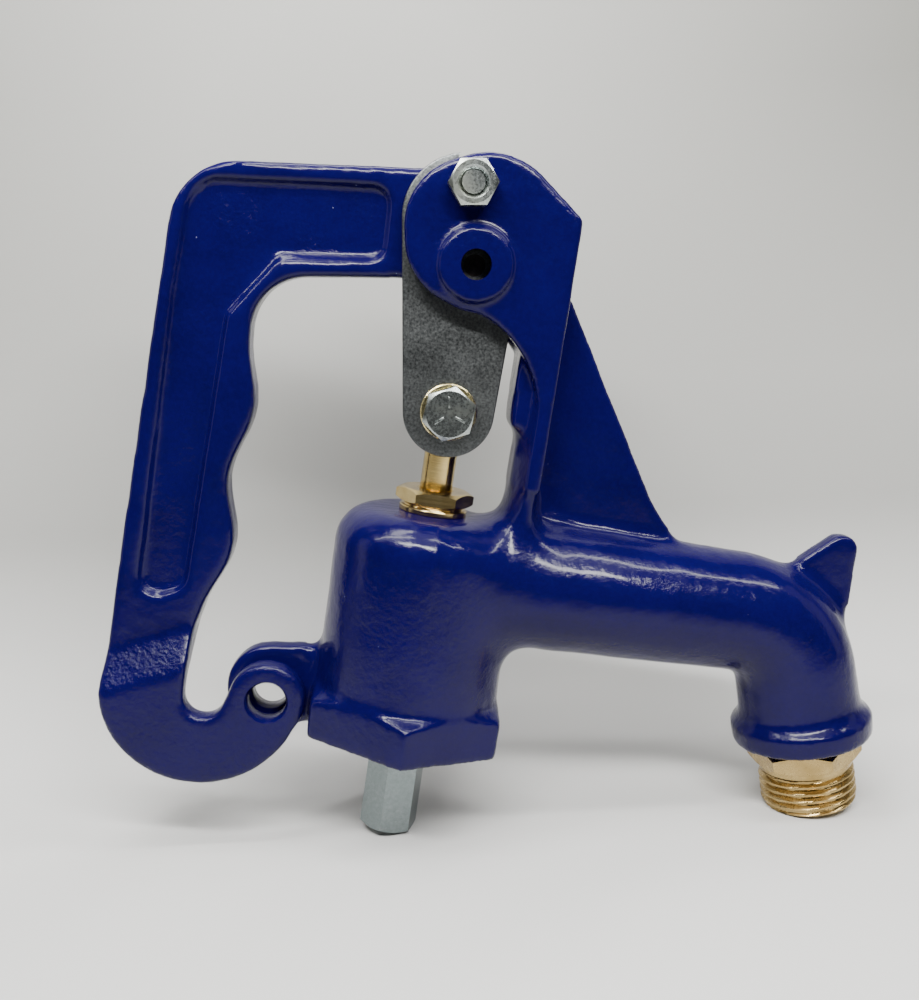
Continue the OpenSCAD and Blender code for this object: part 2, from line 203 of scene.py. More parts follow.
def rod(bm, start, direction, r, length, steps=64, r_end=None):
    """A plain round bar or cone from a start point along a direction."""
    place = along(direction, start) @ Matrix.Translation((0, 0, length / 2))
    bmesh.ops.create_cone(bm, cap_ends=True, segments=steps, radius1=r,
                          radius2=r if r_end is None else r_end, depth=length, matrix=place)


def rod_y(bm, x, z, r, y0, y1, steps=64):
    rod(bm, (x, y0, z), (0, 1, 0), r, y1 - y0, steps)


def hex_bar(bm, corner, height):
    """A plain hexagonal bar that stands on the origin."""
    bmesh.ops.create_cone(bm, cap_ends=True, segments=6, radius1=corner, radius2=corner, depth=height,
                          matrix=Matrix.Translation((0, 0, height / 2)))


def pipe_bend(bm, r, drop=0):
    """The spout's bend as a closed solid tube."""
    place = Matrix.Translation((BEND_X, 0, SPOUT_Z - drop)) @ Matrix.Rotation(math.pi / 2, 4, "Y")
    ring = bmesh.ops.create_circle(bm, cap_ends=True, segments=72, radius=r, matrix=place)
    face = ring["verts"][0].link_faces[0]
    centre = BEND_CENTRE - Vector((0, 0, drop))
    bmesh.ops.spin(bm, geom=[face] + list(face.edges), cent=centre, axis=(0, 1, 0), dvec=(0, 0, 0),
                   angle=math.pi / 2 - LEAN, steps=40)
    bmesh.ops.recalc_face_normals(bm, faces=bm.faces)


# ---------------------------------------------------------------- piece helpers

def as_object(bm, name):
    mesh = bpy.data.meshes.new(name)
    bm.to_mesh(mesh)
    bm.free()
    obj = bpy.data.objects.new(name, mesh)
    bpy.context.scene.collection.objects.link(obj)
    return obj


def settle(obj):
    """Applies every modifier of an object."""
    bpy.context.view_layer.update()
    graph = bpy.context.evaluated_depsgraph_get()
    mesh = bpy.data.meshes.new_from_object(obj.evaluated_get(graph))
    old = obj.data
    obj.modifiers.clear()
    obj.data = mesh
    bpy.data.meshes.remove(old)


def combine(obj, bm, operation="DIFFERENCE", solver="MANIFOLD"):
    """Cuts, keeps or adds a second shape, given as a bmesh."""
    tool = as_object(bm, "tool")
    mod = obj.modifiers.new("combine", "BOOLEAN")
    mod.operation = operation
    mod.solver = solver
    mod.object = tool
    settle(obj)
    bpy.data.meshes.remove(tool.data)


def remesh(obj, voxel):
    mod = obj.modifiers.new("remesh", "REMESH")
    mod.mode = "VOXEL"
    mod.voxel_size = voxel
    mod.adaptivity = 0
    settle(obj)


def soften(bm, verts, times):
    for _ in range(times):
        bmesh.ops.smooth_vert(bm, verts=verts, factor=0.5,
                              use_axis_x=True, use_axis_y=True, use_axis_z=True)


def uneven(bm, keep, amount, size, fine, fine_size):
    """Moves vertices in and out by smooth noise, as sand casting leaves a surface."""
    bm.normal_update()
    for v in bm.verts:
        k = keep(v.co)
        if k > 0:
            shifted = v.co / fine_size + Vector((7, 3, 1))
            lump = amount * noise.noise(v.co / size) + fine * noise.noise(shifted)
            v.co += v.normal * lump * k


def finish_piece(obj, name, body, nodes, material, sharp=35, sand=None):
    """Scales a piece to metres, shades it smooth, gives it its material, ties it to its body and hides
    the nodes it replaces.
    """
    bm = bmesh.new()
    bm.from_mesh(obj.data)
    bmesh.ops.scale(bm, vec=(MM, MM, MM), verts=bm.verts)
    for f in bm.faces:
        f.smooth = True
    if sand is not None:
        layer = bm.verts.layers.float.new("sand")
        for v in bm.verts:
            v[layer] = sand(v.co / MM)
    bm.to_mesh(obj.data)
    bm.free()
    obj.data.set_sharp_from_angle(angle=math.radians(sharp))
    obj.name = name
    obj.data.name = name
    obj.data.materials.clear()
    obj.data.materials.append(material)
    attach(obj, body)
    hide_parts(*nodes)


def bevel_edges(bm, width, segments=2, angle=30):
    sharp = [e for e in bm.edges if len(e.link_faces) == 2 and e.calc_face_angle(0) > math.radians(angle)]
    bmesh.ops.bevel(bm, geom=sharp, offset=width, segments=segments, affect="EDGES", profile=0.5,
                    material=-1, clamp_overlap=True)


# ---------------------------------------------------------------- materials

def blank(name):
    """A material with one shader, and the object's own coordinates to draw patterns on."""
    mat = bpy.data.materials.new(name)
    mat.use_nodes = True
    tree = mat.node_tree
    tree.nodes.clear()
    out = tree.nodes.new("ShaderNodeOutputMaterial")
    shader = tree.nodes.new("ShaderNodeBsdfPrincipled")
    tree.links.new(shader.outputs["BSDF"], out.inputs["Surface"])
    coords = tree.nodes.new("ShaderNodeTexCoord")
    return mat, tree, shader, coords.outputs["Object"]


def add(tree, kind, inputs=None, **settings):
    """Adds a node; an input is a value or another node's output."""
    node = tree.nodes.new(kind)
    for key, value in settings.items():
        setattr(node, key, value)
    for key, value in (inputs or {}).items():
        if hasattr(value, "is_linked"):
            tree.links.new(value, node.inputs[key])
        else:
            node.inputs[key].default_value = value
    return node


def noise_of(tree, coords, scale, detail=2.0, rough=0.5):
    return add(tree, "ShaderNodeTexNoise",
               {"Vector": coords, "Scale": scale, "Detail": detail, "Roughness": rough}).outputs["Fac"]


def span(tree, value, low, high, to_low=0.0, to_high=1.0):
    return add(tree, "ShaderNodeMapRange", {"Value": value, "From Min": low, "From Max": high,
                                            "To Min": to_low, "To Max": to_high}).outputs["Result"]


def along_axis(tree, coords, axis):
    return add(tree, "ShaderNodeVectorMath", {0: coords, 1: tuple(axis)},
               operation="DOT_PRODUCT").outputs["Value"]


def arith(tree, operation, a, b):
    return add(tree, "ShaderNodeMath", {0: a, 1: b}, operation=operation).outputs[0]


def mixed(tree, fac, a, b):
    node = add(tree, "ShaderNodeMix", data_type="RGBA")
    for socket, value in ((node.inputs[0], fac), (node.inputs[6], a), (node.inputs[7], b)):
        if hasattr(value, "is_linked"):
            tree.links.new(value, socket)
        else:
            socket.default_value = value
    return node.outputs[2]


def rgb(r, g, b):
    return (r, g, b, 1.0)


def bump(tree, shader, layers):
    """Chains bumps, each (height, strength, distance in metres)."""
    normal = None
    for height, strength, distance in layers:
        node = add(tree, "ShaderNodeBump",
                   {"Height": height, "Strength": strength, "Distance": distance})
        if normal is not None:
            tree.links.new(normal, node.inputs["Normal"])
        normal = node.outputs["Normal"]
    tree.links.new(normal, shader.inputs["Normal"])


def blue_enamel():
    mat, tree, shader, at = blank("blue_enamel")
    sand = add(tree, "ShaderNodeAttribute", attribute_name="sand").outputs["Fac"]
    cloud = noise_of(tree, at, 60, 3)
    grain = noise_of(tree, at, 900, 2)
    tone = mixed(tree, span(tree, cloud, 0.3, 0.7),
                 rgb(0.0022, 0.0002, 0.034), rgb(0.0030, 0.0003, 0.046))
    tone = mixed(tree, span(tree, grain, 0.35, 0.75, 0, 0.35), tone, rgb(0.0038, 0.0008, 0.060))
    specks = add(tree, "ShaderNodeTexVoronoi", {"Vector": at, "Scale": 260, "Randomness": 1.0})
    dot = span(tree, specks.outputs["Distance"], 0.03, 0.06, 1, 0)
    chance = add(tree, "ShaderNodeTexWhiteNoise", {"Vector": specks.outputs["Position"]})
    speck = arith(tree, "MULTIPLY", dot, span(tree, chance.outputs["Value"], 0.90, 0.91))
    tone = mixed(tree, arith(tree, "MULTIPLY", speck, 0.35), tone, rgb(0.18, 0.22, 0.38))
    tree.links.new(tone, shader.inputs["Base Color"])
    rough = span(tree, noise_of(tree, at, 220, 3), 0.3, 0.7, 0.12, 0.20)
    tree.links.new(rough, shader.inputs["Roughness"])
    shader.inputs["Coat Weight"].default_value = 0.16
    shader.inputs["Coat Roughness"].default_value = 0.08
    shader.inputs["Specular IOR Level"].default_value = 0.12
    peel = noise_of(tree, at, 330, 2)
    pebbles = noise_of(tree, at, 620, 4, 0.6)
    sandy = arith(tree, "MULTIPLY", pebbles, sand)
    bump(tree, shader, [
        (peel, 0.5, 0.00028),
        (sandy, 1.0, 0.00065),
        (grain, 0.25, 0.00010),
        (speck, 0.4, 0.00015),
    ])
    return mat


def zinc(name, dark, light, rough_low, rough_high, grit, grit_scale, tint=None):
    """Electroplated steel: a fine grain, cloudy passivation and small dings."""
    mat, tree, shader, at = blank(name)
    grain = noise_of(tree, at, grit_scale, 3, 0.7)
    cloud = noise_of(tree, at, 120, 3)
    tone = mixed(tree, span(tree, grain, 0.3, 0.7), dark, light)
    if tint is not None:
        tone = mixed(tree, span(tree, cloud, 0.45, 0.7, 0, 0.6), tone, tint)
    tree.links.new(tone, shader.inputs["Base Color"])
    shader.inputs["Metallic"].default_value = 1.0
    rough = span(tree, arith(tree, "ADD", grain, cloud), 0.6, 1.4, rough_low, rough_high)
    tree.links.new(rough, shader.inputs["Roughness"])
    dings = add(tree, "ShaderNodeTexVoronoi", {"Vector": at, "Scale": 420, "Randomness": 1.0})
    ding = span(tree, dings.outputs["Distance"], 0.05, 0.2)
    bump(tree, shader, [(grain, grit, 0.00006), (ding, 0.15, 0.00006)])
    return mat


def brass(name, low, high, rough, ring_axis=None, pits=0.0, ring_scale=900):
    """Brass, with lathe rings round an axis or with casting pits."""
    mat, tree, shader, at = blank(name)
    cloud = noise_of(tree, at, 160, 3)
    grain = noise_of(tree, at, 1300, 3)
    tone = mixed(tree, span(tree, cloud, 0.35, 0.65), low, high)
    layers = [(grain, 0.12, 0.00004)]
    rough_value = span(tree, arith(tree, "ADD", cloud, grain), 0.6, 1.4, rough * 0.75, rough * 1.35)
    if ring_axis is not None:
        dot = along_axis(tree, at, ring_axis)
        rings = add(tree, "ShaderNodeTexNoise", {"W": dot, "Scale": ring_scale, "Detail": 3.0},
                    noise_dimensions="1D").outputs["Fac"]
        layers.append((rings, 0.35, 0.00005))
        tone = mixed(tree, span(tree, rings, 0.4, 0.7, 0, 0.3), tone, low)
    if pits > 0:
        holes = add(tree, "ShaderNodeTexVoronoi", {"Vector": at, "Scale": 520, "Randomness": 1.0})
        hole = span(tree, holes.outputs["Distance"], 0.06, 0.22)
        some = span(tree, noise_of(tree, at, 300, 2), 0.45, 0.6)
        deep = arith(tree, "MULTIPLY", arith(tree, "SUBTRACT", 1.0, hole), some)
        pit = arith(tree, "SUBTRACT", 1.0, deep)
        layers.append((pit, pits, 0.0002))
        tone = mixed(tree, arith(tree, "SUBTRACT", 1.0, pit), tone, rgb(0.20, 0.13, 0.05))
    tree.links.new(tone, shader.inputs["Base Color"])
    tree.links.new(rough_value, shader.inputs["Roughness"])
    shader.inputs["Metallic"].default_value = 1.0
    bump(tree, shader, layers)
    return mat


def dull(name, low, high, scale, strength):
    """Rubber or packing: matt, faintly mottled."""
    mat, tree, shader, at = blank(name)
    mottle = noise_of(tree, at, scale, 4)
    tone = mixed(tree, span(tree, mottle, 0.35, 0.65), low, high)
    tree.links.new(tone, shader.inputs["Base Color"])
    tree.links.new(span(tree, mottle, 0.3, 0.7, 0.55, 0.8), shader.inputs["Roughness"])
    bump(tree, shader, [(mottle, strength, 0.0001)])
    return mat


enamel = blue_enamel()
plate_zinc = zinc("plate_zinc", rgb(0.065, 0.07, 0.072), rgb(0.17, 0.18, 0.182),
                  0.32, 0.48, 0.7, 1500)
bright_zinc = zinc("bright_zinc", rgb(0.30, 0.33, 0.325), rgb(0.46, 0.50, 0.49), 0.20, 0.36, 0.25, 1500,
                   rgb(0.48, 0.50, 0.42))
rod_zinc = zinc("rod_zinc", rgb(0.17, 0.20, 0.205), rgb(0.25, 0.285, 0.285), 0.26, 0.42, 0.25, 900,
                rgb(0.20, 0.245, 0.245))
yellow_zinc = zinc("yellow_zinc", rgb(0.60, 0.50, 0.22), rgb(0.82, 0.72, 0.42),
                   0.16, 0.32, 0.15, 1400)
oiled_steel = zinc("oiled_steel", rgb(0.035, 0.032, 0.030), rgb(0.08, 0.07, 0.065),
                   0.35, 0.55, 0.3, 1200)
stem_brass = brass("stem_brass", rgb(0.44, 0.32, 0.12), rgb(0.60, 0.46, 0.20), 0.2,
                   (0, 0, 1), ring_scale=1500)
nut_brass = brass("nut_brass", rgb(0.50, 0.37, 0.15), rgb(0.66, 0.52, 0.25), 0.2, (0, 0, 1))
thread_brass = brass("thread_brass", rgb(0.34, 0.235, 0.09), rgb(0.48, 0.35, 0.155), 0.25,
                     OUTLET_AXIS, pits=0.35, ring_scale=1200)
sleeve_brass = brass("sleeve_brass", rgb(0.50, 0.31, 0.09), rgb(0.66, 0.44, 0.15), 0.25, (0, 1, 0))
seal_rubber = dull("seal_rubber", rgb(0.02, 0.02, 0.022), rgb(0.035, 0.035, 0.04), 500, 0.2)
graphite = dull("graphite_packing", rgb(0.04, 0.04, 0.045), rgb(0.10, 0.10, 0.105), 900, 0.6)


# ---------------------------------------------------------------- head casting

def ear_outline_low():
    """Face of the arm below the ears, with the hollow that clears the links."""
    hollow = arc(-5, 92, 28, 88, 0, 30)
    return [(ARM_FRONT, 56), (ARM_FRONT, 144), (-4, 144)] + hollow + [(23, 56)]


def spout_radius(x):
    t = (x - SPOUT_START) / (BEND_X - SPOUT_START)
    return SPOUT_ROOT_R + (SPOUT_R - SPOUT_ROOT_R) * t


def make_head():
    bm = bmesh.new()
    shoulder_r = 10
    shoulder = arc(BODY_R - shoulder_r, BODY_TOP - shoulder_r, shoulder_r, 0, 90, 15)
    lathe(bm, [(0, 0), (BODY_R, 0)] + shoulder + [(0, BODY_TOP)])
    rod(bm, (SPOUT_START, 0, SPOUT_Z), (1, 0, 0), SPOUT_ROOT_R, BEND_X - SPOUT_START + 0.5, 96, SPOUT_R)
    lathe(bm, [(0, -0.5), (16.8, -0.5), (16.9, 7), (17.1, 9.6), (17.7, 11), (18.7, 12.1), (19.6, 12.7),
               (19.8, 13.2), (19.5, 18.4), (18.9, OUTLET_LEN), (0, OUTLET_LEN)], at_outlet())
    for side in (-1, 1):
        y0, y1 = sorted((side * EAR_IN, side * EAR_OUT))
        hull_slab(bm, [(-0.8, 139.6, 17.4), (-0.5, 136.9, 17.2), (3, 138.5, 20), (24.4, 144.4, 2.2)],
                  y0, y1)
        slab(bm, ear_outline_low(), y0, y1)
        b0, b1 = sorted((side * (EAR_IN + 1), side * (EAR_OUT + 2)))
        rod_y(bm, LINK_PIN.x, LINK_PIN.z, 9.4, b0, b1, 72)
    slab(bm, [(16.5, 90), (26.4, 90), (26.4, 142), (16.5, 142)], -EAR_IN - 1, EAR_IN + 1)
    foot = [(19.2, -6), (19.2, 6), (23, EAR_OUT), (ARM_FRONT, EAR_OUT), (ARM_FRONT, -EAR_OUT),
            (23, -EAR_OUT)]
    prism(bm, [(x, y, 50) for x, y in foot], (0, 0, 49))
    rib = [(22, 50), (22, 127), (28.4, 126), (46.4, 96.4), (59.4, 75.2), (64, 69.6), (70, 64), (70, 50)]
    slab(bm, rib, -2.5, 2.5)
    hull_slab(bm, [(115.2, 68.6, 4.4), (99, 56, 3), (116, 36, 5)], -3, 3)
    hull_slab(bm, [(LOCK_HOLE.x, LOCK_HOLE.z + 1, 12.2), (-22, 19.8, 2.6), (-22, 3, 2.6)],
              -3.25, 3.25)
    head = as_object(bm, "head")
    base = bmesh.new()
    hex_bar(base, BASE_CORNER_R, BASE_TALL)
    socket = as_object(base, "base")
    cap = bmesh.new()
    lathe(cap, [(0, -1), (29.2, -1), (30.2, 0.8), (30.2, 10.5), (BODY_R - 0.6, 12.9), (0, 12.9)])
    combine(socket, cap, "INTERSECT")
    bend = bmesh.new()
    pipe_bend(bend, SPOUT_R + 0.05)
    elbow = as_object(bend, "elbow")
    bm = bmesh.new()
    for part in (head, socket, elbow):
        bm.from_mesh(part.data)
        bpy.data.meshes.remove(part.data)
    head = as_object(bm, "head")
    remesh(head, HEAD_VOXEL)

    bm = bmesh.new()
    bm.from_mesh(head.data)
    soften(bm, bm.verts, 4)

    def spout_root_distance(c):
        from_body = abs(math.hypot(c.x, c.y) - BODY_R)
        from_spout = abs(math.hypot(c.y, c.z - SPOUT_Z) - spout_radius(c.x))
        return max(from_body, from_spout) if c.x > 2 and c.z < 66 else 99

    def near_arm_foot(c):
        return 10 < c.x < 37 and 58 < c.z < 75 and abs(c.y) < 20 and not (c.x < 12 and c.z < 62)

    def near_rib_foot(c):
        from_spout = abs(math.hypot(c.y, c.z - SPOUT_Z) - spout_radius(c.x))
        return 30 < c.x < 78 and from_spout < 3.2 and abs(c.y) < 7 and c.z > 58

    def near_lug(c):
        return c.x < -18 and abs(c.y) < 8 and abs(math.hypot(c.x, c.y) - BODY_R) < 4.5 and c.z < 28

    def near_fin(c):
        ring = c - BEND_CENTRE
        away = abs(math.hypot(math.hypot(ring.x, ring.z) - BEND_R, c.y) - SPOUT_R)
        return abs(c.y) < 7.5 and away < 3.4 and c.x > 90 and c.z > 34

    def near_web(c):
        return 12 < c.x < 24 and 84 < c.z < 100 and abs(c.y) < 14

    reach = {v: spout_root_distance(v.co) for v in bm.verts}
    for limit in (13, 11.5, 10, 8.5, 7, 6, 5):
        soften(bm, [v for v in bm.verts if reach[v] < limit], 26)
    for zone, times in ((near_arm_foot, 90), (near_rib_foot, 24), (near_lug, 40),
                        (near_fin, 26), (near_web, 20)):
        soften(bm, [v for v in bm.verts if zone(v.co)], times)
    uneven(bm, lambda c: 1.0, 0.16, 11.0, 0.05, 3.5)
    bm.to_mesh(head.data)
    bm.free()

    cut = bmesh.new()
    lathe(cut, [(0, -1), (16.4, -1), (15.2, 0.9), (15.2, 20), (17.5, 22), (17.5, 48), (16.5, 50),
                (0, 50)])
    combine(head, cut)
    cut = bmesh.new()
    rod(cut, (0, 0, 40), UP, 8, 30)
    combine(head, cut)
    cut = bmesh.new()
    rod(cut, (10, 0, SPOUT_Z - 1), (1, 0, 0), BORE_R, BEND_X - 9.5)
    combine(head, cut)
    cut = bmesh.new()
    pipe_bend(cut, BORE_R + 0.05, 1)
    combine(head, cut)
    cut = bmesh.new()
    lathe(cut, [(0, -0.6), (BORE_R, -0.6), (BORE_R, 6), (13.2, 6.2), (13.2, 17.8), (14.4, 21), (0, 21)],
          at_outlet())
    combine(head, cut)
    for x, z, r in ((PIVOT.x, PIVOT.z, 3.3), (LINK_PIN.x, LINK_PIN.z, 3.9)):
        for y0, y1 in ((-22, -EAR_IN + 1.5), (EAR_IN - 1.5, 22)):
            cut = bmesh.new()
            rod_y(cut, x, z, r, y0, y1, 48)
            combine(head, cut)
    cut = bmesh.new()
    lathe(cut, [(0, -6), (7.0, -6), (4.9, -2.7), (4.9, 2.7), (7.0, 6), (0, 6)],
          along((0, 1, 0), LOCK_HOLE), 48)
    combine(head, cut)

    def sand(c):
        low_front = max(0.0, 1 - math.hypot(c.x - 2, c.z - 30) / 26) if c.y < 0 else 0.3
        return min(1.0, 0.12 + 0.70 * low_front + 0.30 * max(0.0, noise.noise(c / 16)))

    finish_piece(head, "yard_hydrant_head", "head", ["head_casting"], enamel, 42, sand)


# ---------------------------------------------------------------- handle

def grip_outline():
    shoulder = arc(-59.8, 129.7, 18.4, 97, 178, 12)
    heel = arc(-59.4, 6.3, 23.8, 178, 232, 8)
    sole = arc(-56.5, 9.8, 28.5, 238, 332, 14)
    outer = [(-2, 154.6)] + shoulder + [(-78.9, 115.6), (-80.8, 71.3), (-82.2, 40.9)] + heel + sole
    eye_low = arc(LOCK_HOLE.x, LOCK_HOLE.z - 0.2, EYE_R, -38, 180, 26)
    slot_end = arc(-54.8, 6.2, 5.5, 338, 180, 14)
    hollows = []
    for i in range(31):
        t = 1 - i / 30
        hollows.append((-55.8 + 4.2 * math.sin(math.pi * t) ** 2 - 3.2 * t * t, 66 - 38 * t))
    for i in range(1, 31):
        t = 1 - i / 30
        hollows.append((-54.2 + 4 * math.sin(math.pi * t) ** 2 - 1.6 * t, 105 - 39 * t))
    throat = arc(-39.4, 106.6, 15, 178, 96, 12)
    return outer + eye_low[:-1] + slot_end + [(-60.3, 15), (-60.3, 23)] + hollows + throat + [(-2, 127)]


def panel_cutter(side):
    """The recessed panel's tools: hulls of a floor, with walls that open towards the face."""
    over_y = side * (HANDLE_HALF + 0.6)
    floor_y = side * 3.4
    leg = [(-71.4, 36.6, 4.4), (-68.4, 37.5, 4.0), (-66.8, 134.0, 6.6), (-68.4, 112.0, 6.2)]
    top = [(-66.0, 135.2, 7.0), (-26.8, 142.4, 3.8), (-26.6, 132.4, 3.8), (-54.0, 129.0, 3.8)]
    corner = [(-66, 112, 5.6), (-63.6, 120.5, 6.0), (-59.5, 125.8, 6.2), (-52, 129.2, 4.3), (-62, 134, 4)]
    tools = []
    for shape in (leg, top, corner):
        bm = bmesh.new()
        hull(bm, [(cx, cz, r + grow, y) for cx, cz, r in shape
                  for y, grow in ((floor_y, -0.5), (over_y, 1.9))], 40)
        tools.append(bm)
    return tools


def line_distance(c, ends):
    """Distance in X and Z from a point to the line between two ends."""
    (ax, az), (bx, bz) = ends
    t = ((c.x - ax) * (bx - ax) + (c.z - az) * (bz - az)) / ((bx - ax) ** 2 + (bz - az) ** 2)
    t = min(1.0, max(0.0, t))
    return math.hypot(c.x - ax - t * (bx - ax), c.z - az - t * (bz - az))


def make_handle():
    bm = bmesh.new()
    slab(bm, grip_outline(), -20, 20)
    handle = as_object(bm, "handle")
    cut = bmesh.new()
    slab(cut, [(-15, 100), (45, 100), (45, 170), (-15, 170)], -25, 25)
    combine(handle, cut)
    hub = bmesh.new()
    hull_slab(hub, [(PIVOT.x, PIVOT.z, 7.6), (-14, 145, 8), (LINK_PIN.x + 1.4, LINK_PIN.z + 1, 9.4),
                    (-14, 133.6, 9)], -HANDLE_HALF, HANDLE_HALF)
    slab(hub, [(-22, 127), (-13, 127), (-13, 150.5), (-22, 150)], -5.9, 5.9)
    combine(handle, hub, "UNION")
    # The foot steps forward on a leaning ramp, so that the eye stands in front of the body's lug.
    step = bmesh.new()
    profile = [(-HANDLE_HALF, 200), (-HANDLE_HALF, 19), (EYE_FRONT, 9.5), (EYE_FRONT, -30),
               (EYE_BACK, -30), (EYE_BACK, 6), (HANDLE_HALF, 17), (HANDLE_HALF, 200)]
    prism(step, [(-100, y, z) for y, z in profile], (180, 0, 0))
    ramp = Vector((-70.8, 0, 15))
    ramp_lean = Matrix.Rotation(math.radians(-24), 3, "Y")
    bmesh.ops.rotate(step, cent=ramp, matrix=ramp_lean, verts=step.verts)
    combine(handle, step, "INTERSECT")
    behind_eye = bmesh.new()
    slab(behind_eye, [(-51, -30), (-20, -30), (-20, 25), (-51, 25)], EYE_BACK, 25)
    combine(handle, behind_eye)
    eye = bmesh.new()
    rod_y(eye, LOCK_HOLE.x, LOCK_HOLE.z, EYE_R, EYE_FRONT + 0.01, EYE_BACK - 0.01, 96)
    combine(handle, eye, "UNION")
    for side in (-1, 1):
        for tool in panel_cutter(side):
            combine(handle, tool)
    remesh(handle, HANDLE_VOXEL)
    bm = bmesh.new()
    bm.from_mesh(handle.data)
    soften(bm, bm.verts, 4)

    def in_panel(c):
        beside = line_distance(c, PANEL_LEG) < 9.6 or (line_distance(c, PANEL_TOP) < 10.6 and c.x < -20)
        return beside and 2.5 < abs(c.y) < 6.2

    soften(bm, [v for v in bm.verts if not in_panel(v.co)], 12)
    uneven(bm, lambda c: 1.0 if c.x < -20 else 0.0, 0.14, 10.0, 0.05, 3.0)
    bm.to_mesh(handle.data)
    bm.free()
    cut = bmesh.new()
    rod_y(cut, PIVOT.x, PIVOT.z, 5.05, -12, 12)
    combine(handle, cut)
    cut = bmesh.new()
    hull_slab(cut, [(LINK_PIN.x + dx, LINK_PIN.z + dz, 3.5) for dx, dz in
                    ((0, 0), (-1.7, 5), (-0.4, 5.9), (4.1, 0.3))], -12, 12)
    combine(handle, cut)
    cut = bmesh.new()
    hook_mid = LOCK_HOLE + Vector((0, -8.7, 0))
    lathe(cut, [(0, -6), (7.4, -6), (5.3, -2.4), (5.3, 2.4), (7.4, 6), (0, 6)],
          along((0, 1, 0), hook_mid), 48)
    combine(handle, cut)

    def sand(c):
        beside = line_distance(c, PANEL_LEG) < 9 or line_distance(c, PANEL_TOP) < 10
        floor = 1.0 if beside and abs(c.y) < 3.8 else 0.0
        glints = max(0.0, min(1.0, 0.5 + 1.6 * noise.noise(c / 13)))
        hook = min(1.0, max(0.0, (24 - c.z) / 8))
        return max((0.12 + 0.36 * glints) * floor, 0.62 * hook, 0.12)

    finish_piece(handle, "lever_handle", "handle", ["handle"], enamel, 42, sand)


# ---------------------------------------------------------------- bolts, nuts and washers

def hex_piece(flats, height, drop):
    """A hexagon with its corners turned down on a lathe, standing on the origin."""
    bm = bmesh.new()
    corner = flats / math.sqrt(3)
    hex_bar(bm, corner, height)
    obj = as_object(bm, "hexagon")
    tool = bmesh.new()
    lathe(tool, [(0, -0.01), (flats / 2 - 0.3, -0.01), (corner + 0.1, drop * 0.8),
                 (corner + 0.1, height - drop), (flats / 2 - 0.35, height + 0.01), (0, height + 0.01)],
          None, 120)
    combine(obj, tool, "INTERSECT", "EXACT")
    return obj


def hexagon(flats, height, drop, place, degrees=0.0):
    """A hexagon at a place, turned about its own axis."""
    obj = hex_piece(flats, height, drop)
    obj.data.transform(place @ Matrix.Rotation(math.radians(degrees), 4, "Z"))
    return obj


def merged(objects):
    bm = bmesh.new()
    for obj in objects:
        bm.from_mesh(obj.data)
        bpy.data.meshes.remove(obj.data)
    return as_object(bm, "merged")


def thread(r_major, depth, pitch, start, stop, place, r_core=0.0, taper=0.8, steps=72):
    """A bar with a helical thread cut in it, or a tube when it is given a core radius."""
    bm = bmesh.new()
    rows = int((stop - start) / (pitch / 9)) + 1
    wall = [(r_major, start + (stop - start) * i / rows) for i in range(rows + 1)]
    lathe(bm, [(r_core, start)] + wall + [(r_core, stop)], None, steps)
    for v in bm.verts:
        r = math.hypot(v.co.x, v.co.y)
        if r > r_major - 1e-3:
            turn = math.atan2(v.co.y, v.co.x) / (2 * math.pi)
            phase = ((v.co.z - start) / pitch - turn) % 1.0
            ridge = min(1.0, 1.25 * (0.5 - 0.5 * math.cos(2 * math.pi * phase)))
            fade = min(1.0, (v.co.z - start) / taper, (stop - v.co.z) / taper)
            cut = depth * (1 - ridge) + 0.55 * depth * max(0.0, 1 - fade)
            new = r_major - min(depth, cut)
            v.co.x *= new / r
            v.co.y *= new / r
    bmesh.ops.transform(bm, matrix=place, verts=bm.verts)
    return as_object(bm, "thread")


def bolt_end(r, length, pitch, place):
    """The threaded end of a bolt, with its point turned to a small cone."""
    return thread(r, r * 0.13, pitch, 0, length, place, taper=pitch * 0.8, steps=64)


def make_pivot_hardware():
    front = along((0, -1, 0), (PIVOT.x, -EAR_OUT, PIVOT.z))
    nut = hexagon(PIVOT_FLATS, 5.4, 0.9, front, 39)
    hole = bmesh.new()
    lathe(hole, [(0, -1), (3.17, -1), (3.17, 4.5), (4.35, 5.7), (0, 5.7)], front, 64)
    combine(nut, hole, "DIFFERENCE", "EXACT")
    finish_piece(nut, "pivot_nut_front", "head", ["pivot_nut"], bright_zinc, 28)
    rear = along((0, 1, 0), (PIVOT.x, EAR_OUT + SPLIT_WASHER, PIVOT.z))
    head = hexagon(PIVOT_FLATS, 4.1, 0.7, rear, 8)
    bm = bmesh.new()
    rod_y(bm, PIVOT.x, PIVOT.z, 3.15, -EAR_OUT + 0.2, EAR_OUT + 1.7, 64)
    shank = as_object(bm, "shank")
    end = bolt_end(3.12, 5.4, 1.27, along((0, -1, 0), (PIVOT.x, -EAR_OUT + 0.3, PIVOT.z)))
    bolt = merged([head, shank, end])
    finish_piece(bolt, "pivot_bolt_long", "head", ["pivot_bolt"], bright_zinc, 28)
    bm = bmesh.new()
    lathe(bm, [(3.35, 0.05), (5.9, 0.05), (6.0, 0.2), (6.0, 1.4), (5.9, 1.55), (3.35, 1.55)],
          along((0, 1, 0), (PIVOT.x, EAR_OUT, PIVOT.z)), 72)
    washer = as_object(bm, "washer")
    gap = bmesh.new()
    gap_at = Matrix.Translation((PIVOT.x + 5, EAR_OUT + SPLIT_WASHER / 2, PIVOT.z))
    bmesh.ops.create_cube(gap, size=1, matrix=gap_at @ Matrix.Rotation(0.35, 4, "X")
                          @ Matrix.Diagonal((5, 4, 0.7, 1)))
    combine(washer, gap, "DIFFERENCE", "EXACT")
    finish_piece(washer, "pivot_split_washer", "head", ["pivot_lock_washer"],
                 bright_zinc, 28)


